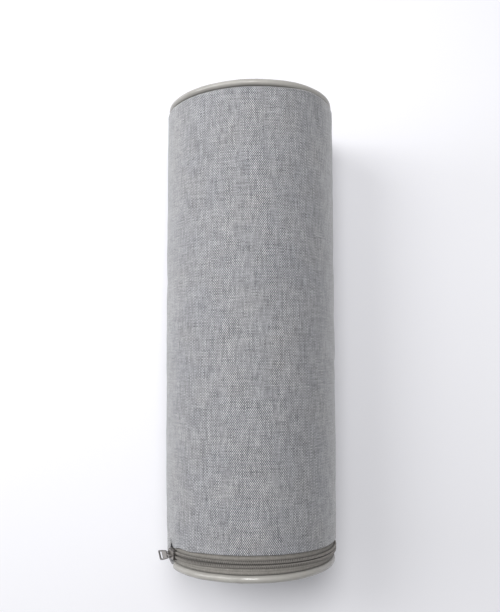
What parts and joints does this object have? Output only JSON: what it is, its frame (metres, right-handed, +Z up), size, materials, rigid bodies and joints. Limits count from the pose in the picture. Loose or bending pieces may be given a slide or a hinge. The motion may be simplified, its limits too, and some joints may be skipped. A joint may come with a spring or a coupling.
{
  "type": "mini bolster",
  "caption": "Firm cylindrical cushion in a linen-look sleeve, with piped round ends and a coil zip running round the roll at one end.",
  "frame": {"origin": "on the underside, under the middle of the roll, where it rests on its small flat", "axes": "+Z up, away from the surface it lies on; +Y along the roll towards its plain end, so the zip end is at -Y; the zip's slider is on the -X side"},
  "size_m": [0.1565, 0.4119, 0.1496],
  "materials": {
    "linen_cloth": "plain weave in mixed pale and dark grey yarns, matt, with slubs",
    "piping": "smooth leather-look coated cloth over a cord, warm light grey, glossy",
    "zip_tape": "fine woven tape, taupe, matt",
    "zip_coil": "nylon coil, dark taupe, satin",
    "zip_metal": "cast metal with a taupe satin paint"
  },
  "bodies": {
    "root": {"filled_sleeve": "linen_cloth", "end_disc_plain": "linen_cloth", "end_disc_zip": "linen_cloth", "piping_plain": "piping", "piping_zip": "piping", "zip_tape_sleeve": "zip_tape", "zip_tape_end": "zip_tape", "zip_coil_sleeve": "zip_coil", "zip_coil_end": "zip_coil", "zip_slider": "zip_metal", "zip_pull": "zip_metal"}
  },
  "joints": []
}
